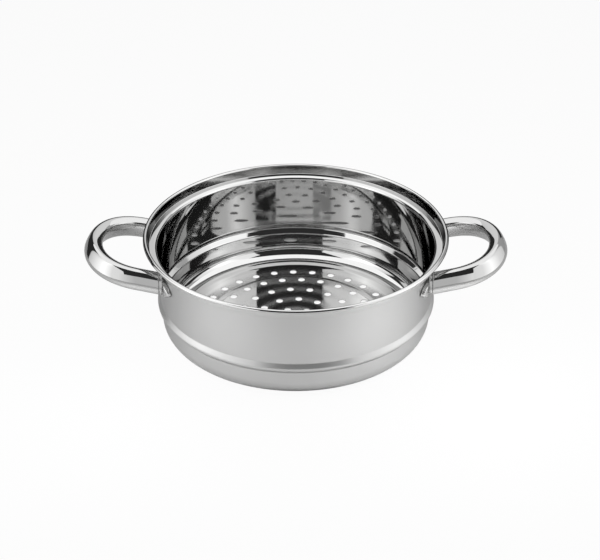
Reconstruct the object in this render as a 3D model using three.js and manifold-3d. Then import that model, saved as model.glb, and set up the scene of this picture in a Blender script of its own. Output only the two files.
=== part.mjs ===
// Steamer insert for a stovetop pot: a drawn steel body with a punched base, and two tube handles
// on welded feet.
// Millimetres, +Z up. The origin is the middle of the base, on the surface that the insert stands on.
// The handles lie along X, and the front is towards -Y.
import * as THREE from "three";
import { mergeGeometries, mergeVertices } from "three/addons/utils/BufferGeometryUtils.js";
import Module from "manifold-3d";

// Body, as outside sizes of the drawn sheet
const HEIGHT = 88; // floor to the top of the rim
const SHEET = 0.7; // thickness of the sheet
const UPPER_R = 113; // upper wall, where it leaves the bead
const WALL_FLARE = 1; // upper wall out to its top
const LOWER_SET_IN = 1; // lower wall, in from the upper wall
const FOOT_FOLD = 14; // round corner between the base and the lower wall
const LIP_DEPTH = 8; // rim top down to the lid seat
const SEAT_WIDTH = 6.9; // top of the upper wall out to the lip
const SEAT_BEND = 2; // rounding from the upper wall into the lid seat
const LIP_BEND = 1.1; // rounding from the lid seat up into the lip
const LIP_FLARE = 1.9; // lip out to its top
const FLANGE_WIDTH = 2.2; // top of the lip out to the edge of the rim
const RIM_BEND = 0.5; // rounding on the underside of the rim
const HEM_DROP = 2.2; // rim top down to the end of its turned edge

// Bead that rests on the rim of the pot below
const BEAD_Z = 29.2; // height of its crest
const BEAD_PROUD = 3.1; // crest before rounding, out from the upper wall
const BEAD_ABOVE = 4.4; // crest up to the upper wall
const BEAD_BELOW = 4.2; // crest down to the lower wall
const BEAD_ROUND = 2.5; // rounding of the crest
const FLARE_ROUND = 2.5; // rounding from the upper wall into the bead
const CREASE_ROUND = 1.6; // rounding from the bead into the lower wall

// Punched base: a raised disc inside the ring that the insert stands on
const BASE_RISE = 1.8; // disc above the ring
const STEP_RUN = 6; // width of the slope between them
const STEP_ROUND = 4; // rounding at both ends of the slope
const HOLE_D = 6;
const HOLE_PITCH = 16.4; // from one ring of holes to the next
const HOLE_LAND = 1; // least flat metal between a hole and a bend
const HOLE_TURN = 55.9; // degrees from +X to the first row of holes
const HOLES_PER_RING = 6; // each ring has this many more than the one inside it

// Handles: squarish oval tube bent into a loop, outer end up
const TUBE_WIDE = 12.6;
const TUBE_TALL = 17.5;
const TUBE_SQUARE = 2.8; // 2 is an ellipse, and more is squarer
const TUBE_ROLL = 16.2; // degrees that the top of the tube leans towards the middle of the loop
const TUBE_WALL = 1;
const HANDLE_REACH = 58.4; // tube ends to the tube's middle at the far end of the loop
const HANDLE_DROP = 24.8; // rim top down to the tube's middle at its ends
const HANDLE_TILT = 12.9; // degrees
const LEG_SPREAD = 42.4; // middle of the handle to the middle of a leg
const LEG_LENGTH = 18.4; // straight run of a leg
const LEG_PULL = 28; // how far the bend keeps to the leg's line
const LOOP_PULL = 20; // how far the bend keeps to the line across the far end

// Feet: pressed cups, open towards the wall, that close the tube ends
const GAP = 0.3; // between pieces that meet
const COLLAR_LENGTH = 2.2; // rim of the cup against the tube end
const COLLAR_LEAST = 0.7; // collar where the wall comes nearest
const CUP_WALL = 1.2;
const NECK_WIDE = 10.6;
const NECK_TALL = 13.2;
const PLATE_WIDE = 23; // plate that lies on the wall, with a spot weld at each end
const PLATE_TALL = 13;
const PLATE_CORNER = 5.5;
const PLATE_SHEET = 1;
const PLATE_DROP = 2.5; // middle of the plate below the leg's axis
const WELD_D = 6;
const WELD_DEPTH = 0.45;
const WELD_INSET = 4.6; // plate end to the middle of the weld

// Facets
const BODY_SIDES = 48;
const CUTTER_SIDES = 96;
const HOLE_SIDES = 8;
const TUBE_SIDES = 14;
const NECK_SIDES = 12;
const TUBE_STEPS = 24;
const CORNER_STEPS = 4;
const WELD_SIDES = 10;
const ARC_SAG = 0.15; // largest distance from a rounded corner to its facets

const wasm = await Module();
wasm.setup();

// Sizes that follow from those above
const lowerR = UPPER_R - LOWER_SET_IN;
const topR = UPPER_R + WALL_FLARE;
const lipR = topR + SEAT_WIDTH;
const lipTopR = lipR + LIP_FLARE;
const rimR = lipTopR + FLANGE_WIDTH;
const seatZ = HEIGHT - LIP_DEPTH;
const flareZ = BEAD_Z + BEAD_ABOVE;
const holeReach = HOLE_D / 2 + HOLE_LAND;
const holeRings = Math.floor((lowerR - FOOT_FOLD - holeReach) / HOLE_PITCH);
const discR = HOLE_PITCH * (holeRings - 1) + holeReach;
const tilt = THREE.MathUtils.degToRad(HANDLE_TILT);
const roll = THREE.MathUtils.degToRad(TUBE_ROLL);
const handleZ = HEIGHT - HANDLE_DROP;
const feetTop = (handleZ + TUBE_TALL / 2 - flareZ) / (seatZ - SHEET - flareZ); // as a share of the upper wall
const plateR = UPPER_R + WALL_FLARE * feetTop + GAP; // inner side of the plates on the wall
const tubeHalf = Math.max(...tubeSection(0).map((p) => p.x)); // tube's middle to its inner side
const wallX = Math.sqrt(plateR ** 2 - (LEG_SPREAD - tubeHalf) ** 2); // where a tube end nears the wall
const cupX = wallX + COLLAR_LEAST; // outer face of the cups
const tubeEndX = cupX + GAP;

// A closed geometry as a solid that can be joined and cut.
function solid(geometry) {
  const bare = new THREE.BufferGeometry();
  bare.setAttribute("position", geometry.getAttribute("position").clone());
  bare.setIndex(geometry.index);
  const merged = mergeVertices(bare, 1e-4);
  const corners = merged.index.array;
  const kept = [];
  for (let i = 0; i < corners.length; i += 3) {
    const [a, b, c] = corners.subarray(i, i + 3);
    if (a !== b && b !== c && c !== a) kept.push(a, b, c);
  }
  const vertProperties = merged.getAttribute("position").array;
  return new wasm.Manifold(new wasm.Mesh({ numProp: 3, vertProperties, triVerts: new Uint32Array(kept) }));
}

// A joined or cut solid back as a geometry.
function geometryOf(made) {
  const mesh = made.getMesh();
  const geometry = new THREE.BufferGeometry();
  geometry.setAttribute("position", new THREE.BufferAttribute(mesh.vertProperties, 3));
  geometry.setIndex(new THREE.BufferAttribute(mesh.triVerts, 1));
  geometry.computeVertexNormals();
  return geometry;
}

// Points of an arc that rounds the corner at b, tangent to the lines towards a and c.
function roundedCorner(a, b, c, radius) {
  const toA = a.clone().sub(b).normalize();
  const toC = c.clone().sub(b).normalize();
  const half = Math.acos(toA.dot(toC)) / 2;
  const centre = toA.clone().add(toC).setLength(radius / Math.sin(half)).add(b);
  const start = toA.clone().multiplyScalar(radius / Math.tan(half)).add(b).sub(centre);
  const turn = -Math.sign(toA.cross(toC)) * (Math.PI - 2 * half);
  const steps = Math.ceil(Math.abs(turn) / (2 * Math.acos(1 - ARC_SAG / Math.max(radius, ARC_SAG))));
  return Array.from({ length: steps + 1 }, (_, i) => {
    return start.clone().rotateAround(new THREE.Vector2(), (turn * i) / steps).add(centre);
  });
}

// A path through corners given as [r, z, rounding].
function roundedPath(corners) {
  const points = corners.map(([r, z]) => new THREE.Vector2(r, z));
  const rounded = points.slice(1, -1).flatMap((corner, i) => {
    return roundedCorner(points[i], corner, points[i + 2], corners[i + 1][2]);
  });
  return [points[0], ...rounded, points.at(-1)];
}

// The path moved sideways, to its left, by the thickness of the sheet.
function offsetPath(points, distance) {
  const normals = points.slice(1).map((p, i) => {
    const along = p.clone().sub(points[i]).normalize();
    return new THREE.Vector2(-along.y, along.x);
  });
  return points.map((p, i) => {
    const before = normals[Math.max(i - 1, 0)];
    const after = normals[Math.min(i, normals.length - 1)];
    const middle = before.clone().add(after).normalize();
    return middle.multiplyScalar(distance / middle.dot(after)).add(p);
  });
}

// A profile of points (r, z) turned about Z.
function revolve(profile, sides) {
  return new THREE.LatheGeometry(profile, sides).rotateX(Math.PI / 2);
}

// A cylinder about Z that ends at the heights low and high.
function upright(radius, low, high, sides) {
  const cylinder = new THREE.CylinderGeometry(radius, radius, high - low, sides);
  return cylinder.rotateX(Math.PI / 2).translate(0, 0, (low + high) / 2);
}

// Rings of punches about the middle one, each ring with the same number more than the last.
function punches() {
  const low = -SHEET;
  const high = BASE_RISE + 2 * SHEET;
  const list = [upright(HOLE_D / 2, low, high, HOLE_SIDES)];
  for (let ring = 1; ring <= holeRings; ring++) {
    const count = HOLES_PER_RING * ring;
    for (let i = 0; i < count; i++) {
      const angle = THREE.MathUtils.degToRad(HOLE_TURN + (360 * i) / count);
      const x = HOLE_PITCH * ring * Math.cos(angle);
      const y = HOLE_PITCH * ring * Math.sin(angle);
      list.push(upright(HOLE_D / 2, low, high, HOLE_SIDES).rotateZ(angle).translate(x, y, 0));
    }
  }
  return mergeGeometries(list);
}

// The drawn body: one sheet from the middle of the base to the turned edge of the rim.
function bodyShell() {
  const outside = roundedPath([
    [0, BASE_RISE],
    [discR, BASE_RISE, STEP_ROUND],
    [discR + STEP_RUN, 0, STEP_ROUND],
    [lowerR, 0, FOOT_FOLD],
    [lowerR, BEAD_Z - BEAD_BELOW, CREASE_ROUND],
    [UPPER_R + BEAD_PROUD, BEAD_Z, BEAD_ROUND],
    [UPPER_R, flareZ, FLARE_ROUND],
    [topR, seatZ - SHEET, SEAT_BEND],
    [lipR, seatZ - SHEET, LIP_BEND],
    [lipTopR, HEIGHT - SHEET, RIM_BEND],
    [rimR - SHEET, HEIGHT - SHEET, RIM_BEND],
    [rimR - SHEET, HEIGHT - HEM_DROP],
  ]);
  const inside = offsetPath(outside, SHEET).reverse();
  const shell = solid(revolve([...outside, ...inside], BODY_SIDES));
  return geometryOf(shell.subtract(solid(punches())));
}

// The tube's outline, each point as out from the loop's middle and up, with its sides moved in by inset.
function tubeSection(inset) {
  const power = 2 / TUBE_SQUARE;
  return Array.from({ length: TUBE_SIDES }, (_, i) => {
    const cos = Math.cos((2 * Math.PI * i) / TUBE_SIDES);
    const sin = Math.sin((2 * Math.PI * i) / TUBE_SIDES);
    const out = (TUBE_WIDE / 2 - inset) * Math.sign(cos) * Math.abs(cos) ** power;
    const up = (TUBE_TALL / 2 - inset) * Math.sign(sin) * Math.abs(sin) ** power;
    return new THREE.Vector2(out, up).rotateAround(new THREE.Vector2(), roll);
  });
}

// Half of the tube's middle line, flat: straight leg, then a bend into the far end of the loop.
function legAndBend(side) {
  const y = side * LEG_SPREAD;
  const bend = new THREE.Vector3(LEG_LENGTH, y, 0);
  const loopEnd = new THREE.Vector3(HANDLE_REACH, 0, 0);
  const leg = new THREE.LineCurve3(new THREE.Vector3(-TUBE_TALL, y, 0), bend);
  const turn = new THREE.CubicBezierCurve3(
    bend,
    new THREE.Vector3(LEG_LENGTH + LEG_PULL, y, 0),
    new THREE.Vector3(HANDLE_REACH, side * LOOP_PULL, 0),
    loopEnd,
  );
  return [leg, turn];
}

// The curve run the other way.
function reversed(curve) {
  if (curve.isLineCurve3) return new THREE.LineCurve3(curve.v2, curve.v1);
  return new THREE.CubicBezierCurve3(curve.v3, curve.v2, curve.v1, curve.v0);
}

// A loop handle on the +X side: the tube along the loop, tilted, and cut off upright at both ends.
function handle() {
  const path = new THREE.CurvePath();
  path.curves = [...legAndBend(1), ...legAndBend(-1).reverse().map(reversed)];
  const laid = (points) => points.map((p) => new THREE.Vector2(-p.y, p.x)); // the path's own axes: down, out
  const section = new THREE.Shape(laid(tubeSection(0)));
  section.holes.push(new THREE.Path(laid(tubeSection(TUBE_WALL))));
  const tube = new THREE.ExtrudeGeometry(section, { extrudePath: path, steps: TUBE_STEPS });
  tube.rotateY(-tilt).translate(tubeEndX, 0, handleZ);
  const cutOff = new THREE.BoxGeometry(2 * tubeEndX, 4 * LEG_SPREAD, 4 * LEG_SPREAD).translate(0, 0, handleZ);
  return geometryOf(solid(tube).subtract(solid(cutOff)));
}

// A flat outline, drawn across and up, as a bar that runs from the origin along +X.
function barAlongX(outline, length, curveSegments) {
  const bar = new THREE.ExtrudeGeometry(outline, { depth: length, bevelEnabled: false, curveSegments });
  return bar.rotateX(Math.PI / 2).rotateZ(Math.PI / 2);
}

// An oval bar along +X.
function ovalBar(wide, tall, length) {
  const oval = new THREE.Shape().absellipse(0, 0, wide / 2, tall / 2, 0, 2 * Math.PI);
  return barAlongX(oval, length, NECK_SIDES / 2);
}

// The plate's outline with its round corners, as a bar along +X.
function plateBar(length) {
  const across = PLATE_WIDE / 2 - PLATE_CORNER;
  const up = PLATE_TALL / 2 - PLATE_CORNER;
  const outline = new THREE.Shape();
  outline.absarc(across, up, PLATE_CORNER, 0, Math.PI / 2);
  outline.absarc(-across, up, PLATE_CORNER, Math.PI / 2, Math.PI);
  outline.absarc(-across, -up, PLATE_CORNER, Math.PI, 1.5 * Math.PI);
  outline.absarc(across, -up, PLATE_CORNER, 1.5 * Math.PI, 2 * Math.PI);
  return barAlongX(outline, length, CORNER_STEPS);
}

// The plate of a foot: the part of a thin band round the wall that is inside the plate's outline.
function footPlate(angle, z) {
  const band = upright(plateR + PLATE_SHEET, z - PLATE_TALL, z + PLATE_TALL, CUTTER_SIDES);
  const outline = plateBar(2 * UPPER_R).rotateZ(angle).translate(0, 0, z);
  return solid(band).intersect(solid(outline));
}

// The dents of the two spot welds in a plate.
function weldDents(angle, z) {
  const swing = (PLATE_WIDE / 2 - WELD_INSET) / plateR;
  const dents = [angle - swing, angle + swing].map((turn) => {
    const outerR = WELD_D / 2 + WELD_DEPTH;
    const innerR = WELD_D / 2 - WELD_DEPTH;
    const dent = new THREE.CylinderGeometry(outerR, innerR, 2 * WELD_DEPTH, WELD_SIDES);
    return dent.rotateZ(-Math.PI / 2).translate(plateR + PLATE_SHEET, 0, z).rotateZ(turn);
  });
  return solid(mergeGeometries(dents));
}

// A weld foot on the +X side: collar and neck in line with the leg, and a plate that follows the wall.
function bracket(side) {
  const legEnd = new THREE.Vector3(cupX, side * LEG_SPREAD, handleZ);
  const reach = 2 * TUBE_TALL;
  const alongLeg = (bar) => solid(bar.translate(-reach, 0, 0).rotateY(-tilt).translate(...legEnd));
  const outline = new THREE.Shape(tubeSection(0).map((p) => new THREE.Vector2(side * p.x, p.y)));
  const collar = barAlongX(outline, COLLAR_LENGTH).translate(...legEnd).translate(-COLLAR_LENGTH, 0, 0);
  const neck = alongLeg(ovalBar(NECK_WIDE, NECK_TALL, reach - COLLAR_LENGTH / 2));
  const pocketDepth = reach - COLLAR_LENGTH - CUP_WALL;
  const pocket = alongLeg(ovalBar(NECK_WIDE - 2 * CUP_WALL, NECK_TALL - 2 * CUP_WALL, pocketDepth));
  const angle = Math.atan2(side * LEG_SPREAD, cupX);
  const plateZ = handleZ - PLATE_DROP;
  const wall = solid(upright(plateR, 0, HEIGHT, CUTTER_SIDES));
  const cup = solid(collar).add(neck).add(footPlate(angle, plateZ));
  return geometryOf(cup.subtract(wall).subtract(pocket).subtract(weldDents(angle, plateZ)));
}

// A named piece with a steel of its own.
function piece(name, geometry, color, roughness) {
  const material = new THREE.MeshStandardMaterial({ color, roughness, metalness: 1 });
  const mesh = new THREE.Mesh(geometry, material);
  mesh.name = name;
  return mesh;
}

const steamer = new THREE.Group();
steamer.add(piece("body_shell", bodyShell(), 0xc9c9c7, 0.12));
for (const [name, turn] of [
  ["right", 0],
  ["left", Math.PI],
]) {
  const sideGroup = new THREE.Group();
  sideGroup.rotation.z = turn;
  const front = turn ? 1 : -1; // the left group is turned half round, so its front is its own +Y
  sideGroup.add(piece(`handle_${name}`, handle(), 0xd2d2d0, 0.08));
  sideGroup.add(piece(`bracket_${name}_front`, bracket(front), 0xc4c4c2, 0.2));
  sideGroup.add(piece(`bracket_${name}_back`, bracket(-front), 0xc4c4c2, 0.2));
  steamer.add(sideGroup);
}

export default steamer;
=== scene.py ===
import math

import bpy
import numpy as np
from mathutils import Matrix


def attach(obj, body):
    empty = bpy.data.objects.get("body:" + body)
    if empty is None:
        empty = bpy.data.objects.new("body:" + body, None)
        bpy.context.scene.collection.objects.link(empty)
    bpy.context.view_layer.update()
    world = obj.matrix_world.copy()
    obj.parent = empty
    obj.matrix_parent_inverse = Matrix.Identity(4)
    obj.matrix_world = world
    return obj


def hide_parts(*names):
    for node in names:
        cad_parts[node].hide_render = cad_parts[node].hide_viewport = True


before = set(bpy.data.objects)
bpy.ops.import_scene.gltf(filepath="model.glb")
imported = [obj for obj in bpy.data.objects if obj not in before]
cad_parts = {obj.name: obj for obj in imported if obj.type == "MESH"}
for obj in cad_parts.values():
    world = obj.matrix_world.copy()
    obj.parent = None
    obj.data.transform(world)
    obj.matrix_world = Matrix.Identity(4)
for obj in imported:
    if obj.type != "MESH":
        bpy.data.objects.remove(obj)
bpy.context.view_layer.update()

MM = 0.001
WELD_DIGITS = 6
TINY = 1e-9

# Body, in millimetres: outside sizes of the drawn sheet
HEIGHT = 88.0
SHEET = 0.7
UPPER_R = 113.0
LOWER_R = 112.0
TOP_R = 114.0
LIP_R = 120.9
LIP_TOP_R = 122.3
RIM_R = 125.0
SEAT_Z = 80.0
BEAD_R = 116.1
BEAD_Z = 28.1
FLARE_Z = 33.1
CREASE_Z = 23.7
HEM_DROP = 2.2
HEM_POINTS = 9
AROUND = 360

# Bends of the body's profile: rounding in millimetres and steps of the arc
CORNER_BEND = (14.0, 16)
CREASE_BEND = (1.6, 6)
BEAD_BEND = (2.5, 12)
FLARE_BEND = (1.8, 8)
SEAT_BEND = (2.8, 10)
LEDGE_BEND = (1.1, 6)
LIP_BEND = (0.8, 8)
RIM_BEND = (1.3, 8)
STEP_BEND = (4.0, 6)

# Punched base: each ring has six holes more than the one inside it
BASE_RISE = 1.8
STEP_IN_R = 69.6
STEP_OUT_R = 75.6
HOLE_R = 3.0
HOLE_EDGE = 0.15
HOLE_PITCH = 16.4
HOLE_RINGS = 5
HOLES_MORE = 6
HOLE_TURN = 55.9
RING_OUT_R = 90.2
CELL_STEPS = 6

# Places of the body's finishes in its list of materials. Besides roughness, their steel colours hold painted
# light and shade: the outside's colour is painted darker, the inside's and base's lighter
OUTSIDE = 0
INSIDE = 1
BASE = 2

# Handles
TUBE_WIDE = 12.6
TUBE_TALL = 17.5
TUBE_SQUARE = 2.8
TUBE_ROLL = math.radians(16.2)
TUBE_HALF = 6.92
TUBE_EDGE = 0.35
TUBE_COLUMNS = 96
HANDLE_REACH = 58.25
HANDLE_Z = 63.2
HANDLE_TILT = math.radians(12.9)
LEG_SPREAD = 42.4
LEG_LENGTH = 18.4
LEG_PULL = 28.0
LOOP_PULL = 20.0
LOOP_POINTS = 65

# Closed ends and legs: share of the innermost row, bulge of the rounded edge, and rows along a straight leg
POLE = 0.02
EDGE_BULGE = 0.3
LEG_SHARES = (0.0, 0.02, 0.5)

# Weld feet: the collar's rows are scale and setback
FOOT_GAP = 0.3
COLLAR_LEAST = 0.7
COLLAR_LENGTH = 2.2
COLLAR_CLEAR = 0.2
COLLAR_LIFT = 1.15
COLLAR_ROWS = ((POLE, 0.0), (0.95, 0.0), (0.985, 0.06), (1.0, 0.25))

# Rows of a foot on the wall: width, height, squareness and drop below the handle
NECK_TOP = (10.6, 14.6, 2.2, 0.8)
NECK_FOOT = (11.2, 13.0, 2.3, 1.6)
PLATE_START = np.array([12.2, 13.2, 2.3, 1.7])
PLATE_RIM = np.array([31.5, 12.7, 2.0, 2.8])
PLATE_BACK = (32.0, 13.0, 2.0, 2.8)

# Neck: how far its foot stands off the wall, how far it stays behind the collar, and the share it follows
NECK_PROUD = 1.3
NECK_BEHIND = 0.5
NECK_FOLLOW = 0.8

# Plate: rows of its front, how far it and its rim stand off the wall, how late it thins, and rows of its back
PLATE_ROWS = 18
PLATE_PROUD = 0.9
PLATE_EDGE = 0.4
PLATE_FALL = 3
PLATE_SHARES = (1.0, 0.7, 0.4, POLE)

# Outer wing of the plate: its rise, where across the plate it starts and is full, and how late it ends
WING_RISE = 2.6
WING_START = 3.0
WING_FULL = 10.0
WING_FALL = 8

# Where the feet and the tube ends lie: the plate's radius just clears the wall at the handle's top
FEET_TOP = (HANDLE_Z + TUBE_TALL / 2 - FLARE_Z) / (SEAT_Z - SHEET - FLARE_Z)
PLATE_R = UPPER_R + (TOP_R - UPPER_R) * FEET_TOP + FOOT_GAP
CUP_X = math.sqrt(PLATE_R**2 - (LEG_SPREAD - TUBE_HALF) ** 2) + COLLAR_LEAST
TUBE_END_X = CUP_X + FOOT_GAP

# Steel: depths of the fine relief are in millimetres. One steel comes in two colours: a shaded copy, darker
# as painted shade, for the outside, handles and feet, and a lit copy, lighter as painted light, for the
# inside and base
WHITE = (1.0, 1.0, 1.0, 1.0)
# Shaded copy of the steel: its darker colour is painted shade
SHADED_STEEL = (0.65, 0.65, 0.647, 1.0)
# Lit copy of the same steel: its lighter colour is painted light
LIT_STEEL = (0.74, 0.74, 0.737, 1.0)
SOFT_OUTSIDE = {
    "colour": SHADED_STEEL,
    "edge": 0.8,
    "roughness": 0.32,
    "smear": 0.06,
    "stretch": (1.0, 1.0, 0.02),
    "grain": 1400.0,
    "depth": 0.02,
    "waves": 1.0,
}
MIRROR_INSIDE = {
    "colour": LIT_STEEL,
    "edge": 0.05,
    "roughness": 0.03,
    "smear": 0.02,
    "stretch": (1.0, 1.0, 0.05),
    "grain": 900.0,
    "depth": 0.002,
    "waves": 60.0,
}
SPUN_BASE = {
    "colour": LIT_STEEL,
    "edge": 0.45,
    "roughness": 0.03,
    "smear": 0.05,
    "stretch": (1.0, 1.0, 1.0),
    "grain": 900.0,
    "depth": 0.002,
    "waves": 60.0,
}
MIRROR_TUBE = {
    "colour": SHADED_STEEL,
    "edge": 0.8,
    "roughness": 0.03,
    "smear": 0.02,
    "stretch": (0.1, 1.0, 1.0),
    "grain": 900.0,
    "depth": 0.01,
    "waves": 1.0,
}
PRESSED_FOOT = {
    "colour": SHADED_STEEL,
    "edge": 0.8,
    "roughness": 0.12,
    "smear": 0.06,
    "stretch": (1.0, 1.0, 1.0),
    "grain": 1200.0,
    "depth": 0.02,
    "waves": 1.0,
}

# Polishing marks: sizes of the noise, per metre, and its detail
SMEAR_NOISE = {"Scale": 28.0, "Detail": 3.0}
WAVE_NOISE = {"Scale": 42.0, "Detail": 0.0}
TONE_NOISE = {"Scale": 9.0, "Detail": 2.0}
LINE_DETAIL = 2.0
TONE_DARKER = 0.97
RELIEF = 0.2

# Rings of the spun base. The wave texture repeats after pi / 10 over its scale: once for each ring of holes
SPUN_STRETCH = 0.9
SPUN_TURN = 0.25
SPUN_ROUGHER = 0.12
SPUN_SCALE = math.pi / (10 * HOLE_PITCH * MM)

# Camera, from the rim's middle, in millimetres
CAMERA_DISTANCE = 1200.0
CAMERA_RISE = math.radians(28.92)
CAMERA_TILT = math.radians(30.845)
CAMERA_SIDE = 3.4
CAMERA_LENS = 87.85
CAMERA_SENSOR = 36.0

# Floor: it is matt, with shares of plain white to the eye and in the steel
FLOOR_HALF = 12000.0
FLOOR_DROP = 0.4
FLOOR_WHITE_TO_EYE = 0.95
FLOOR_WHITE_IN_STEEL = 0.05
FLOOR_MATT = 0.54

# Room and its soft panels, in millimetres. Levels are pairs of a place along the panel and its strength
ROOM = 520.0
ROOM_LEVEL = 0.03
PANEL_FULL = 2.0
PANEL_Z = 900.0
MARK_START = 0.5
ROOF_Z = 530.0
ROOF_FRONT = -140.0
ROOF_BACK = 600.0
ROOF_LEVELS = (
    (0.0, 1.25),
    (1040.0, 1.25),
)
RIGHT_FRONT = -640.0
RIGHT_LEVELS = (
    (0.0, 1.0),
    (350.0, 1.1),
    (548.0, 1.6),
    (720.0, 1.1),
    (900.0, 0.9),
    (930.0, 0.45),
    (1160.0, 0.45),
)
LEFT_FRONT = -1115.0
LEFT_LEVELS = (
    (0.0, 1.0),
    (720.0, 1.1),
    (946.0, 1.7),
    (1150.0, 1.1),
    (1270.0, 0.8),
    (1290.0, 0.03),
    (1635.0, 0.03),
)
BACK_Z = 280.0
BACK_LEVELS = (
    (0.0, 0.03),
    (150.0, 0.03),
    (162.0, 0.8),
    (500.0, 0.95),
    (815.0, 0.95),
    (825.0, 0.45),
    (1040.0, 0.45),
)
FRONT_Y = -700.0
FRONT_WIDE = 700.0
FRONT_TALL = 282.0
FRONT_LEVELS = (
    (0.0, 1.05),
    (180.0, 1.05),
    (560.0, 0.65),
    (840.0, 0.65),
    (1220.0, 1.05),
    (1400.0, 1.05),
)

# Floor lamps: name, place and watts
LAMP_Z = 150.0
LAMP_SIZE = 100.0
LAMPS = (
    ("lamp_left", -142.0, -134.0, 0.24),
    ("lamp_right", 152.0, -120.0, 0.32),
)


# Meshes from grids

def bent_path(corners):
    """Points and left-hand normals of a line through corners (r, z, rounding, steps).

    An arc touches both lines at each inner corner. Its centre is the corner moved towards the inside of the
    turn by the rounding along both lines' normals, and the normals on it are its radii.
    """
    at = np.array([corner[:2] for corner in corners], float)
    along = np.diff(at, axis=0)
    along /= np.linalg.norm(along, axis=1)[:, None]
    left = np.stack([-along[:, 1], along[:, 0]], 1)
    points = [at[:1]]
    normals = [left[:1]]
    for i in range(1, len(corners) - 1):
        rounding, steps = corners[i][2:]
        before, after = left[i - 1], left[i]
        turn = math.atan2(before[0] * after[1] - before[1] * after[0], before @ after)
        inwards = math.copysign(rounding, turn)
        centre = at[i] + inwards * (before + after) / (1 + before @ after)
        angles = math.atan2(before[1], before[0]) + turn * np.linspace(0, 1, steps + 1)
        radii = np.stack([np.cos(angles), np.sin(angles)], 1)
        points.append(centre - inwards * radii)
        normals.append(radii)
    points.append(at[-1:])
    normals.append(left[-1:])
    return np.concatenate(points), np.concatenate(normals)


def grid_faces(count, rows, columns, wrap):
    """Corner numbers of the quads of several grids that follow each other, each row by row."""
    across = columns if wrap else columns - 1
    row, column = np.meshgrid(np.arange(rows - 1), np.arange(across), indexing="ij")
    beside = (column + 1) % columns
    one = np.stack(
        [
            row * columns + column,
            row * columns + beside,
            (row + 1) * columns + beside,
            (row + 1) * columns + column,
        ],
        -1,
    ).reshape(-1, 4)
    starts = np.arange(count) * rows * columns
    return (starts[:, None, None] + one).reshape(-1, 4)


def grid_facing(points, outwards):
    """Normals of a grid that wraps round: neighbours' differences, crossed, on the side that is given."""
    rows = np.gradient(points, axis=0)
    columns = np.roll(points, -1, 1) - np.roll(points, 1, 1)
    normals = np.cross(rows, columns)
    normals = normals / np.maximum(np.linalg.norm(normals, axis=2), TINY)[..., None]
    return normals if (normals * outwards).sum() > 0 else -normals


def facing(points, normals, faces):
    """The faces, turned round where they look against the normals of their corners."""
    a, b, c, d = (points[faces[:, i]] for i in range(4))
    looks = np.einsum("ij,ij->i", np.cross(c - a, d - b), normals[faces].sum(1))
    return faces if looks.sum() > 0 else faces[:, ::-1]


class Patches:
    """Grids of one piece, collected and then welded where their points meet."""

    def __init__(self):
        self.points = []
        self.normals = []
        self.faces = []
        self.finish = []
        self.count = 0

    def add(self, points, normals, wrap=True, finish=0):
        """Adds grids of shape (grids, rows, columns, 3), or one of shape (rows, columns, 3)."""
        points = points.reshape((-1,) + points.shape[-3:])
        flat = points.reshape(-1, 3)
        flat_normals = np.broadcast_to(normals, points.shape).reshape(-1, 3)
        faces = facing(flat, flat_normals, grid_faces(*points.shape[:3], wrap))
        self.points.append(flat)
        self.normals.append(flat_normals)
        self.faces.append(faces + self.count)
        self.finish.append(np.full(len(faces), finish))
        self.count += len(flat)

    def close(self, ring, normal):
        """Closes a ring of points with quads across it, from each point to the one opposite."""
        half = len(ring) // 2
        self.add(np.stack([ring[:half], ring[:half - 1:-1]]), normal, wrap=False)

    def piece(self, name, materials):
        """One object in metres, with its points welded and its exact normals set."""
        points = np.concatenate(self.points)
        rounded = np.round(points, WELD_DIGITS)
        _, first, place = np.unique(rounded, axis=0, return_index=True, return_inverse=True)
        normals = np.concatenate(self.normals)[first]
        normals /= np.linalg.norm(normals, axis=1)[:, None]
        faces = place.reshape(-1)[np.concatenate(self.faces)]
        mesh = bpy.data.meshes.new(name)
        mesh.from_pydata((points[first] * MM).tolist(), [], faces.tolist())
        mesh.polygons.foreach_set("material_index", np.concatenate(self.finish))
        mesh.shade_smooth()
        mesh.normals_split_custom_set_from_vertices(normals.tolist())
        for material in materials:
            mesh.materials.append(material)
        piece = bpy.data.objects.new(name, mesh)
        bpy.context.scene.collection.objects.link(piece)
        return piece


# Body

def degrees_round(whole):
    """Cosine and sine of whole degrees counted from the first row of holes."""
    angle = np.radians(HOLE_TURN + np.mod(whole, AROUND))
    return np.cos(angle), np.sin(angle)


def turned(path, normals):
    """A profile and its normals turned about Z by whole degrees: r goes round as (r cos, r sin), z stays."""
    cos, sin = degrees_round(np.arange(AROUND))
    flat = np.stack([path, normals])
    r, z = flat[..., :1], flat[..., 1:]
    return np.stack([r * cos, r * sin, np.broadcast_to(z, z.shape[:-1] + (AROUND,))], -1)


def base_step():
    """Profile of the step between the base's raised disc and outer ring, without the flats beside it."""
    step, left = bent_path(
        [
            (0.0, BASE_RISE),
            (STEP_IN_R, BASE_RISE, *STEP_BEND),
            (STEP_OUT_R, 0.0, *STEP_BEND),
            (RING_OUT_R, 0.0),
        ]
    )
    return step[1:-1], left[1:-1]


def wall_profile():
    """Outside profile of the wall, from the outer ring of the base to the turned-down edge of the rim."""
    return bent_path(
        [
            (RING_OUT_R, 0.0),
            (LOWER_R, 0.0, *CORNER_BEND),
            (LOWER_R, CREASE_Z, *CREASE_BEND),
            (BEAD_R, BEAD_Z, *BEAD_BEND),
            (UPPER_R, FLARE_Z, *FLARE_BEND),
            (TOP_R, SEAT_Z - SHEET, *SEAT_BEND),
            (LIP_R, SEAT_Z - SHEET, *LEDGE_BEND),
            (LIP_TOP_R, HEIGHT - SHEET, *LIP_BEND),
            (RIM_R - SHEET, HEIGHT - SHEET, *RIM_BEND),
            (RIM_R - SHEET, HEIGHT - HEM_DROP),
        ]
    )


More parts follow.
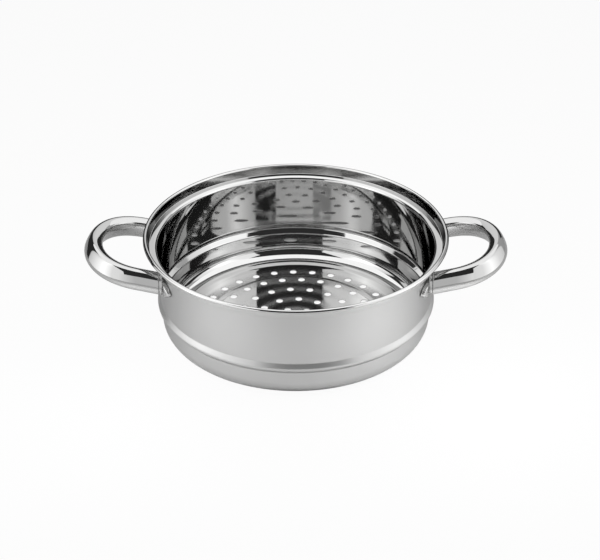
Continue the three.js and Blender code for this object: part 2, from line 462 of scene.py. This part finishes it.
def hem_profile(low_z):
    """Half circle that closes the rim's edge: the sheet's middle plus half a sheet times cosine and sine."""
    angle = np.radians(np.linspace(-180, 0, HEM_POINTS))
    normals = np.stack([np.cos(angle), np.sin(angle)], 1)
    return np.array([RIM_R - SHEET / 2, low_z]) + SHEET / 2 * normals, normals


def cell_outline(ring, inner_r, outer_r):
    """Edges of the sectors round one ring's holes: whole degrees and radii, once round each sector."""
    step = AROUND // (HOLES_MORE * ring)
    low, high = -(step // 2), step - step // 2
    arc = np.arange(low, high + 1)
    rise = np.linspace(inner_r, outer_r, CELL_STEPS + 1)[1:-1]
    degrees = np.concatenate([arc, np.full(len(rise), high), arc[::-1], np.full(len(rise), low)])
    radii = np.concatenate([np.full(len(arc), inner_r), rise, np.full(len(arc), outer_r), rise[::-1]])
    rays = step * np.arange(HOLES_MORE * ring)
    cos, sin = degrees_round(rays[:, None] + degrees)
    middles = HOLE_PITCH * ring * np.stack(degrees_round(rays), -1)
    return np.stack([radii * cos, radii * sin], -1), middles[:, None]


def hole_walls(body, out, middles, low_z):
    """Walls of one ring's holes, with rounded edges: middle plus direction times the radius at each depth."""
    bend = np.radians([90.0, 0.0, 0.0, -90.0])
    depth = np.array([SHEET, SHEET - HOLE_EDGE, HOLE_EDGE, 0.0])
    radius = HOLE_R + HOLE_EDGE - HOLE_EDGE * np.cos(bend)
    wall = middles[:, None] + radius[:, None, None] * out[:, None]
    depth = np.broadcast_to((low_z + depth)[:, None, None], wall.shape[:-1] + (1,))
    normals = -np.cos(bend)[:, None, None] * np.broadcast_to(out[:, None], wall.shape)
    tops = np.broadcast_to(np.sin(bend)[:, None, None], wall.shape[:-1] + (1,))
    body.add(np.concatenate([wall, depth], -1), np.concatenate([normals, tops], -1), finish=INSIDE)


def punched_ring(body, edges, middles, low_z):
    """Sheet from each hole's edge to the edge of its cell, below and above, and the holes' walls between."""
    out = edges - middles
    out = out / np.linalg.norm(out, axis=-1)[..., None]
    flat = np.stack([middles + (HOLE_R + HOLE_EDGE) * out, edges], 1)
    for z, up, finish in ((low_z, -1.0, OUTSIDE), (low_z + SHEET, 1.0, BASE)):
        height = np.full(flat.shape[:-1] + (1,), z)
        body.add(np.concatenate([flat, height], -1), np.array([0.0, 0.0, up]), finish=finish)
    hole_walls(body, out, middles, low_z)


def punched_base(body, step):
    """The disc round the middle hole and the rings of holes. The step lies between the last two rings."""
    limits = HOLE_PITCH * (np.arange(HOLE_RINGS + 1) + 0.5)
    nearer = limits[:-1].copy()
    farther = limits[1:].copy()
    farther[-2] = step[0, 0]
    nearer[-1] = step[-1, 0]
    farther[-1] = RING_OUT_R
    disc = limits[0] * np.stack(degrees_round(np.arange(AROUND)), -1)[None]
    punched_ring(body, disc, np.zeros((1, 1, 2)), BASE_RISE)
    for ring in range(1, HOLE_RINGS + 1):
        low_z = 0.0 if ring == HOLE_RINGS else BASE_RISE
        punched_ring(body, *cell_outline(ring, nearer[ring - 1], farther[ring - 1]), low_z)


def body_shell(materials):
    """The drawn sheet: outside profile, the same moved inwards by the sheet, hem and punched base."""
    body = Patches()
    step, step_left = base_step()
    wall, wall_left = wall_profile()
    for path, left, inner in ((step, step_left, BASE), (wall, wall_left, INSIDE)):
        body.add(*turned(path, -left), finish=OUTSIDE)
        body.add(*turned(path + SHEET * left, left), finish=inner)
    body.add(*turned(*hem_profile(wall[-1, 1])), finish=INSIDE)
    punched_base(body, step)
    return body.piece("steamer_body", materials)


# Handles

def oval(wide, tall, square, roll=0.0):
    """A closed oval, across and up: half sizes times cosine and sine to the power 2 / square, then rolled."""
    angle = np.linspace(0, 2 * math.pi, TUBE_COLUMNS, endpoint=False)
    cos, sin = np.cos(angle), np.sin(angle)
    power = 2 / square
    across = wide / 2 * np.sign(cos) * np.abs(cos) ** power
    up = tall / 2 * np.sign(sin) * np.abs(sin) ** power
    return across * math.cos(roll) - up * math.sin(roll), across * math.sin(roll) + up * math.cos(roll)


def oval_normals(wide, tall, square, roll=0.0):
    """Normals of the oval: cosine and sine to the power 2 - 2 / square, over the half sizes, then rolled."""
    power = 2 - 2 / square
    across, up = oval(4 / wide, 4 / tall, 2 / power, roll)
    return np.stack([across, up]) / np.hypot(across, up)


def half_loop():
    """Middle line and slope of half a handle in its plane: a cubic Bezier from a leg to the far end."""
    bend = np.array([LEG_LENGTH, LEG_SPREAD])
    far = np.array([HANDLE_REACH, 0.0])
    from_leg = bend + [LEG_PULL, 0.0]
    to_far = far + [0.0, LOOP_PULL]
    t = np.linspace(0, 1, LOOP_POINTS)[:, None]
    s = 1 - t
    line = s**3 * bend + 3 * t * s**2 * from_leg + 3 * t**2 * s * to_far + t**3 * far
    slope = s**2 * (from_leg - bend) + 2 * t * s * (to_far - from_leg) + t**2 * (far - to_far)
    return line, slope / np.linalg.norm(slope, axis=1)[:, None]


def whole_loop():
    """Middle line of a handle and its flat normals: half a loop, then its mirror image to the other leg."""
    line, slope = half_loop()
    mirror = np.array([1.0, -1.0])
    line = np.concatenate([line, (line * mirror)[-2::-1]])
    slope = np.concatenate([slope, (slope * -mirror)[-2::-1]])
    return line, np.stack([-slope[:, 1], slope[:, 0]], 1)


def tilted(u, y, h):
    """Directions of the handle's plane in the frame of its side: u is turned up by the tilt, h with it."""
    cos, sin = math.cos(HANDLE_TILT), math.sin(HANDLE_TILT)
    return np.stack([u * cos - h * sin, y, u * sin + h * cos], -1)


def swept(line, outwards, across, up):
    """Section points, or normals, along a line: the line, plus across times its flat normal, plus up."""
    u = line[:, :1] + outwards[:, :1] * across
    y = line[:, 1:] + outwards[:, 1:] * across
    return tilted(u, y, np.broadcast_to(up, u.shape))


def turned_half(points, side):
    """Points or normals of the +X side, for the side given: the -X side is turned half round Z."""
    return points * np.array([side, side, 1.0])


def tube_end(piece, cut, back, outwards, side):
    """A leg's closed end, flat inside a rounded edge. Gives the ring of points where the leg goes on."""
    middle = cut.mean(0)
    edge = cut - back * TUBE_EDGE
    inset = middle + (cut - middle) * (1 - 2 * TUBE_EDGE / TUBE_WIDE)
    pole = middle + (cut - middle) * POLE
    to_wall = np.array([-1.0 * side, 0.0, 0.0])
    piece.add(turned_half(np.stack([pole, inset]), side), to_wall)
    piece.close(turned_half(pole, side), to_wall)
    bend = np.stack([inset, (inset + cut) / 2 + (edge - cut) * EDGE_BULGE, edge])
    piece.add(turned_half(bend, side), turned_half(grid_facing(bend, outwards), side))
    return edge


def tube_handle(name, side, materials):
    """Oval tube along the loop, with straight legs that are cut off upright and closed at their ends."""
    line, outwards = whole_loop()
    section = (TUBE_WIDE, TUBE_TALL, TUBE_SQUARE, TUBE_ROLL)
    loop = swept(line, outwards, *oval(*section)) + np.array([TUBE_END_X, 0.0, HANDLE_Z])
    normals = swept(np.zeros_like(line), outwards, *oval_normals(*section))
    back = tilted(-1.0, 0.0, 0.0)
    piece = Patches()
    legs = []
    for row in (0, -1):
        cut = loop[row] + back * ((TUBE_END_X - loop[row, :, 0]) / back[0])[:, None]
        edge = tube_end(piece, cut, back, normals[row], side)
        legs.append(np.stack([edge + (loop[row] - edge) * share for share in LEG_SHARES]))
    tube = np.concatenate([legs[0], loop, legs[1][::-1]])
    rows = len(LEG_SHARES)
    normals = np.concatenate([normals[[0] * rows], normals, normals[[-1] * rows]])
    piece.add(turned_half(tube, side), turned_half(normals, side))
    return piece.piece(name, materials)


# Weld feet

def collar_row(scale, back):
    """The tube's section at a scale, in an upright plane that lies back from the tube's end."""
    across, up = oval(TUBE_WIDE * scale, TUBE_TALL * scale, TUBE_SQUARE, TUBE_ROLL)
    return np.stack([np.full(TUBE_COLUMNS, CUP_X - back), LEG_SPREAD + across, HANDLE_Z + up], -1)


def wall_row(wide, tall, square, drop, off, rise=0.0):
    """An oval on a cylinder about Z, off the wall, whose outer wing rises along a smooth step across."""
    across, up = oval(wide, tall, square)
    share = np.clip((across - WING_START) / (WING_FULL - WING_START), 0.0, 1.0)
    r = PLATE_R + off + rise * share**2 * (3 - 2 * share)
    turn = math.atan2(LEG_SPREAD, CUP_X) + across / PLATE_R
    return np.stack([r * np.cos(turn), r * np.sin(turn), HANDLE_Z - drop + up], -1)


def plate_rows():
    """Rows of the plate: its front from the neck to its rim, where it thins, then its edge and its back."""
    rows = []
    for t in 1 - np.linspace(1, 0, PLATE_ROWS) ** 2:
        proud = PLATE_PROUD - (PLATE_PROUD - PLATE_EDGE) * t**PLATE_FALL
        rise = WING_RISE * math.sqrt(1 - t**WING_FALL)
        rows.append(wall_row(*(PLATE_START + t * (PLATE_RIM - PLATE_START)), proud, rise))
    rows.append(wall_row(*PLATE_BACK, PLATE_EDGE / 2))
    wide, tall, square, drop = PLATE_BACK
    for share in PLATE_SHARES:
        rows.append(wall_row(wide * share, tall * share, square, drop, 0.0))
    return rows


def foot_rows():
    """Rows of the foot at +X and +Y: the collar that meets the tube, the neck, and the plate on the wall."""
    collar_back = collar_row(1.0, COLLAR_LENGTH)
    from_axis = np.hypot(collar_back[:, 0], collar_back[:, 1])
    lift = np.maximum(PLATE_R + PLATE_PROUD + COLLAR_CLEAR - from_axis, 0.0)
    collar_back[:, 0] += lift * COLLAR_LIFT
    neck_top = wall_row(*NECK_TOP, 0.0)
    short = collar_back[:, 0] - NECK_BEHIND - neck_top[:, 0]
    neck_top[:, 0] += np.maximum(short, 0.0) * NECK_FOLLOW
    rows = [collar_row(*row) for row in COLLAR_ROWS]
    rows += [collar_back, (collar_back + neck_top) / 2, neck_top, wall_row(*NECK_FOOT, NECK_PROUD)]
    return np.stack(rows + plate_rows())


def weld_foot(name, side, y_side, materials):
    """A pressed foot between a tube end and the wall: the one at +X +Y, mirrored and turned to its place."""
    rows = foot_rows() * np.array([side, side * y_side, 1.0])
    piece = Patches()
    piece.add(rows, grid_facing(rows, rows - rows.reshape(-1, 3).mean(0)))
    piece.close(rows[0], np.array([side, 0.0, 0.0]))
    piece.close(rows[-1], -rows[-1].mean(0) * np.array([1.0, 1.0, 0.0]))
    return piece.piece(name, materials)


# Finishes: polish, relief, and steel colours whose lit and shaded copies are painted light and shade

def add_node(tree, kind, links=None, **settings):
    """A node with its settings, and its inputs set to values or joined to other nodes' outputs."""
    node = tree.nodes.new(kind)
    for key, value in settings.items():
        setattr(node, key, value)
    for key, value in (links or {}).items():
        if isinstance(value, bpy.types.NodeSocket):
            tree.links.new(value, node.inputs[key])
        else:
            node.inputs[key].default_value = value
    return node


def combine(tree, operation, *values):
    """One maths node: its output."""
    return add_node(tree, "ShaderNodeMath", dict(enumerate(values)), operation=operation).outputs[0]


def even(level):
    """A colour without hue."""
    return (level, level, level, 1.0)


def polish_group():
    """Shared marks of polished steel: cloudy smears, fine lines of the wheel, and waves in the sheet."""
    group = bpy.data.node_groups.new("polish_marks", "ShaderNodeTree")
    group.interface.new_socket("Stretch", in_out="INPUT", socket_type="NodeSocketVector")
    for name in ("Grain", "Base Roughness", "Smear", "Waves"):
        group.interface.new_socket(name, in_out="INPUT", socket_type="NodeSocketFloat")
    for name in ("Roughness", "Height"):
        group.interface.new_socket(name, in_out="OUTPUT", socket_type="NodeSocketFloat")
    inputs = group.nodes.new("NodeGroupInput").outputs
    place = add_node(group, "ShaderNodeTexCoord").outputs["Object"]
    smear = add_node(group, "ShaderNodeTexNoise", {"Vector": place, **SMEAR_NOISE}).outputs["Fac"]
    waves = add_node(group, "ShaderNodeTexNoise", {"Vector": place, **WAVE_NOISE}).outputs["Fac"]
    drawn = add_node(group, "ShaderNodeVectorMath", {0: place, 1: inputs["Stretch"]}, operation="MULTIPLY")
    lines = add_node(
        group,
        "ShaderNodeTexNoise",
        {"Vector": drawn.outputs[0], "Scale": inputs["Grain"], "Detail": LINE_DETAIL},
    )
    cloud = combine(group, "MULTIPLY_ADD", smear, inputs["Smear"], inputs["Base Roughness"])
    height = combine(group, "MULTIPLY_ADD", waves, inputs["Waves"], lines.outputs["Fac"])
    out = group.nodes.new("NodeGroupOutput")
    group.links.new(cloud, out.inputs["Roughness"])
    group.links.new(height, out.inputs["Height"])
    return group


def clouded(tree, colour):
    """A colour that darkens a little in soft clouds."""
    place = add_node(tree, "ShaderNodeTexCoord").outputs["Object"]
    tone = add_node(tree, "ShaderNodeTexNoise", {"Vector": place, **TONE_NOISE}).outputs["Fac"]
    darker = tuple(TONE_DARKER * value for value in colour[:3]) + (1.0,)
    mix = {"Factor": tone, "A": colour, "B": darker}
    return add_node(tree, "ShaderNodeMix", mix, data_type="RGBA").outputs["Result"]


def steel(name, marks, *, colour, edge, roughness, smear, stretch, grain, depth, waves):
    """Polished steel: a metal whose roughness and fine relief come from the polishing marks."""
    material = bpy.data.materials.new(name)
    material.use_nodes = True
    tree = material.node_tree
    shader = tree.nodes["Principled BSDF"]
    shader.inputs["Metallic"].default_value = 1.0
    shader.inputs["Specular Tint"].default_value = even(edge)
    polish = add_node(
        tree,
        "ShaderNodeGroup",
        {
            "Base Roughness": roughness,
            "Smear": smear,
            "Stretch": stretch,
            "Grain": grain,
            "Waves": waves,
        },
        node_tree=marks,
    )
    relief = add_node(
        tree,
        "ShaderNodeBump",
        {"Strength": RELIEF, "Distance": depth * MM, "Height": polish.outputs["Height"]},
    )
    tree.links.new(clouded(tree, colour), shader.inputs["Base Color"])
    tree.links.new(polish.outputs["Roughness"], shader.inputs["Roughness"])
    tree.links.new(relief.outputs["Normal"], shader.inputs["Normal"])
    return material


def spun(material):
    """Gives a steel the rings of a spun sheet: it scatters across them, and more on each ring of holes."""
    tree = material.node_tree
    shader = tree.nodes["Principled BSDF"]
    shader.inputs["Anisotropic"].default_value = SPUN_STRETCH
    shader.inputs["Anisotropic Rotation"].default_value = SPUN_TURN
    rings = add_node(tree, "ShaderNodeTangent", direction_type="RADIAL", axis="Z")
    tree.links.new(rings.outputs["Tangent"], shader.inputs["Tangent"])
    place = add_node(tree, "ShaderNodeTexCoord").outputs["Object"]
    wave = add_node(
        tree,
        "ShaderNodeTexWave",
        {"Vector": place, "Scale": SPUN_SCALE, "Phase Offset": math.pi},
        wave_type="RINGS",
        rings_direction="Z",
    )
    polished = shader.inputs["Roughness"].links[0].from_socket
    rougher = combine(tree, "MULTIPLY_ADD", wave.outputs["Fac"], SPUN_ROUGHER, polished)
    tree.links.new(rougher, shader.inputs["Roughness"])
    return material


# Stage

def plane(name, corner, side_a, side_b, material):
    """A flat card: corner plus s times one side plus t times the other, with s and t as its UV map."""
    s, t = np.meshgrid([0.0, 1.0], [0.0, 1.0], indexing="ij")
    points = np.array(corner) + s[..., None] * np.array(side_a) + t[..., None] * np.array(side_b)
    mesh = bpy.data.meshes.new(name)
    mesh.from_pydata((points.reshape(-1, 3) * MM).tolist(), [], grid_faces(1, 2, 2, False).tolist())
    places = np.stack([s, t], -1).reshape(-1, 2)
    corners = np.empty(len(mesh.loops), int)
    mesh.loops.foreach_get("vertex_index", corners)
    mesh.uv_layers.new(name="spread").data.foreach_set("uv", places[corners].ravel())
    mesh.materials.append(material)
    card = bpy.data.objects.new(name, mesh)
    bpy.context.scene.collection.objects.link(card)
    return card


def bare_material(name):
    """A material with no shader yet: itself, its nodes and its surface socket."""
    material = bpy.data.materials.new(name)
    material.use_nodes = True
    tree = material.node_tree
    tree.nodes.clear()
    return material, tree, add_node(tree, "ShaderNodeOutputMaterial").inputs["Surface"]


def floor_paint():
    """Matt, so that it takes the shadow, and lifted towards white to the eye and, less, in the steel."""
    material, tree, surface = bare_material("floor_white")
    path = add_node(tree, "ShaderNodeLightPath").outputs
    eye = combine(tree, "MULTIPLY", path["Is Camera Ray"], FLOOR_WHITE_TO_EYE)
    steel_sees = combine(tree, "ADD", path["Is Glossy Ray"], path["Is Transmission Ray"])
    seen = combine(tree, "ADD", eye, combine(tree, "MULTIPLY", steel_sees, FLOOR_WHITE_IN_STEEL))
    white = add_node(tree, "ShaderNodeEmission", {"Color": WHITE, "Strength": 1.0})
    matt = add_node(tree, "ShaderNodeBsdfDiffuse", {"Color": even(FLOOR_MATT)})
    both = add_node(tree, "ShaderNodeMixShader", {0: seen, 1: matt.outputs[0], 2: white.outputs[0]})
    tree.links.new(both.outputs[0], surface)
    return material


def panel_light(name, stops):
    """A glow that changes along the panel's first side: levels at shares of its length."""
    material, tree, surface = bare_material(name)
    place = add_node(tree, "ShaderNodeUVMap", uv_map="spread").outputs[0]
    along = add_node(tree, "ShaderNodeSeparateXYZ", {0: place}).outputs["X"]
    ramp = add_node(tree, "ShaderNodeValToRGB", {"Fac": along})
    marks_on = ramp.color_ramp.elements
    while len(marks_on) < len(stops):
        marks_on.new(MARK_START)
    for mark, (share, level) in zip(marks_on, stops):
        mark.position = share
        mark.color = even(level / PANEL_FULL)
    glow = add_node(tree, "ShaderNodeEmission", {"Color": ramp.outputs["Color"], "Strength": PANEL_FULL})
    tree.links.new(glow.outputs[0], surface)
    return material


def soft_panel(name, corner, side_a, side_b, levels):
    """A soft light that the camera doesn't see, with its levels along its first side."""
    length = np.linalg.norm(side_a)
    stops = [(place / length, level) for place, level in levels]
    card = plane(name, corner, side_a, side_b, panel_light(name, stops))
    card.visible_camera = False
    card.visible_shadow = False


def floor_lamp(name, x, y, power):
    """A soft lamp above the floor beside the pot, which steel and camera don't see."""
    data = bpy.data.lights.new(name, "AREA")
    data.shape = "DISK"
    data.size = LAMP_SIZE * MM
    data.energy = power
    lamp = bpy.data.objects.new(name, data)
    lamp.location = (x * MM, y * MM, LAMP_Z * MM)
    lamp.visible_camera = False
    lamp.visible_glossy = False
    bpy.context.scene.collection.objects.link(lamp)


def dim_room():
    """A dim room that looks white to the camera."""
    world = bpy.data.worlds.new("dim_room")
    bpy.context.scene.world = world
    world.use_nodes = True
    tree = world.node_tree
    background = tree.nodes["Background"].inputs
    background["Color"].default_value = WHITE
    eye = add_node(tree, "ShaderNodeLightPath").outputs["Is Camera Ray"]
    level = add_node(tree, "ShaderNodeMapRange", {"Value": eye, "To Min": ROOM_LEVEL, "To Max": 1.0})
    tree.links.new(level.outputs[0], background["Strength"])


def studio():
    """Floor, roof, side panels, backdrop, low front board and two floor lamps, in a dim room."""
    floor_side = 2 * FLOOR_HALF
    floor_corner = (-FLOOR_HALF, -FLOOR_HALF, -FLOOR_DROP)
    plane("floor", floor_corner, (floor_side, 0, 0), (0, floor_side, 0), floor_paint())
    wide = (2 * ROOM, 0, 0)
    tall = (0, 0, PANEL_Z)
    soft_panel("roof", (-ROOM, ROOF_FRONT, ROOF_Z), wide, (0, ROOF_BACK - ROOF_FRONT, 0), ROOF_LEVELS)
    soft_panel("panel_right", (ROOM, RIGHT_FRONT, 0), (0, ROOM - RIGHT_FRONT, 0), tall, RIGHT_LEVELS)
    soft_panel("panel_left", (-ROOM, LEFT_FRONT, 0), (0, ROOM - LEFT_FRONT, 0), tall, LEFT_LEVELS)
    soft_panel("backdrop", (-ROOM, ROOM, BACK_Z), wide, tall, BACK_LEVELS)
    front_corner = (-FRONT_WIDE, FRONT_Y, 0)
    soft_panel("front_board", front_corner, (2 * FRONT_WIDE, 0, 0), (0, 0, FRONT_TALL), FRONT_LEVELS)
    for lamp in LAMPS:
        floor_lamp(*lamp)
    dim_room()


def photo_camera():
    """The camera that the photograph was measured to have."""
    data = bpy.data.cameras.new("camera")
    data.sensor_fit = "HORIZONTAL"
    data.sensor_width = CAMERA_SENSOR
    data.lens = CAMERA_LENS
    camera = bpy.data.objects.new("camera", data)
    height = HEIGHT + CAMERA_DISTANCE * math.sin(CAMERA_RISE)
    camera.location = (CAMERA_SIDE * MM, -CAMERA_DISTANCE * math.cos(CAMERA_RISE) * MM, height * MM)
    camera.rotation_euler = (math.pi / 2 - CAMERA_TILT, 0.0, 0.0)
    bpy.context.scene.collection.objects.link(camera)
    bpy.context.scene.camera = camera


def carry(piece, node):
    """The piece stands for a node and rides with the part."""
    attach(piece, "root")
    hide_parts(node)


# The scene

bpy.context.scene.view_settings.view_transform = "Standard"
photo_camera()
studio()

marks = polish_group()
outside_steel = steel("steel_soft_outside", marks, **SOFT_OUTSIDE)
inside_steel = steel("steel_mirror_inside", marks, **MIRROR_INSIDE)
base_steel = spun(steel("steel_spun_base", marks, **SPUN_BASE))
tube_steel = steel("steel_mirror_tube", marks, **MIRROR_TUBE)
foot_steel = steel("steel_pressed_foot", marks, **PRESSED_FOOT)

carry(body_shell([outside_steel, inside_steel, base_steel]), "body_shell")
for side_name, side in (("right", 1), ("left", -1)):
    carry(tube_handle(f"loop_{side_name}", side, [tube_steel]), f"handle_{side_name}")
    for end_name, y_side in (("front", -side), ("back", side)):
        foot = weld_foot(f"foot_{side_name}_{end_name}", side, y_side, [foot_steel])
        carry(foot, f"bracket_{side_name}_{end_name}")
